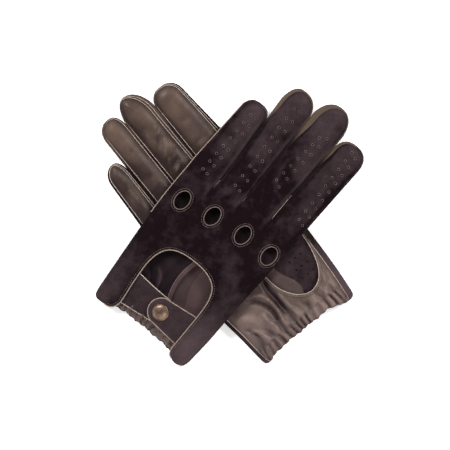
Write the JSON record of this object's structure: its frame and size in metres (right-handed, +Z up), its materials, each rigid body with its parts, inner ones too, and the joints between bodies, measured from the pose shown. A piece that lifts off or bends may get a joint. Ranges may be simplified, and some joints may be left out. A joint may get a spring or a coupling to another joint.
{
  "type": "pair of leather driving gloves",
  "caption": "Pair of suede-backed leather driving gloves laid crossed, with knuckle holes and a strapped, press-stud wrist opening.",
  "frame": {"origin": "on the floor under the middle of the pair", "axes": "+Z up; the gloves lie in the XY plane with their cuffs towards -Y and their fingers towards +Y, the left glove running to +X and the right one to -X"},
  "size_m": [0.2155, 0.2274, 0.0265],
  "materials": {
    "suede": "napped suede",
    "smooth_leather": "soft sheen",
    "edging": "raw cut edge",
    "thread": "twisted thread",
    "elastic": "woven elastic",
    "bronze": "antique bronze"
  },
  "bodies": {
    "right_glove": {"right_back_panel": "suede", "right_palm_panel": "smooth_leather", "right_fourchette_little_ring": "smooth_leather", "right_fourchette_ring_middle": "smooth_leather", "right_fourchette_middle_index": "smooth_leather", "right_thumb_back": "suede", "right_thumb_front": "smooth_leather", "right_elastic_band": "elastic", "right_opening_piping": "edging", "right_opening_stitching": "thread", "right_knuckle_bindings": "edging", "right_knuckle_stitching": "thread", "right_under_tab": "suede", "right_snap_stud": "bronze", "right_snap_post": "bronze"},
    "right_strap": {"right_strap": "suede", "right_strap_lining": "smooth_leather", "right_strap_piping": "edging", "right_snap_cap": "bronze", "right_snap_socket": "bronze", "right_snap_spring": "bronze"},
    "left_glove": {"left_back_panel": "suede", "left_palm_panel": "smooth_leather", "left_fourchette_little_ring": "smooth_leather", "left_fourchette_ring_middle": "smooth_leather", "left_fourchette_middle_index": "smooth_leather", "left_thumb_back": "suede", "left_thumb_front": "smooth_leather", "left_elastic_band": "elastic", "left_opening_piping": "edging", "left_opening_stitching": "thread", "left_knuckle_bindings": "edging", "left_knuckle_stitching": "thread", "left_under_tab": "suede", "left_snap_stud": "bronze", "left_snap_post": "bronze"},
    "left_strap": {"left_strap": "suede", "left_strap_lining": "smooth_leather", "left_strap_piping": "edging", "left_snap_cap": "bronze", "left_snap_socket": "bronze", "left_snap_spring": "bronze"}
  },
  "joints": [
    {"name": "left_glove_lift", "type": "slide", "parent": "right_glove", "child": "left_glove", "axis": [0, 0, 1], "range_m": [0, 0.12]},
    {"name": "left_strap_hinge", "type": "hinge", "parent": "left_glove", "child": "left_strap", "pos_m": [-0.0352, -0.08339, 0.01714], "axis": [0.6051, 0.7419, 0.2889], "range_deg": [0, 150]},
    {"name": "right_strap_hinge", "type": "hinge", "parent": "right_glove", "child": "right_strap", "pos_m": [0.07111, -0.04695, 0.00355], "axis": [0.632, -0.7749, 0], "range_deg": [0, 150]}
  ]
}
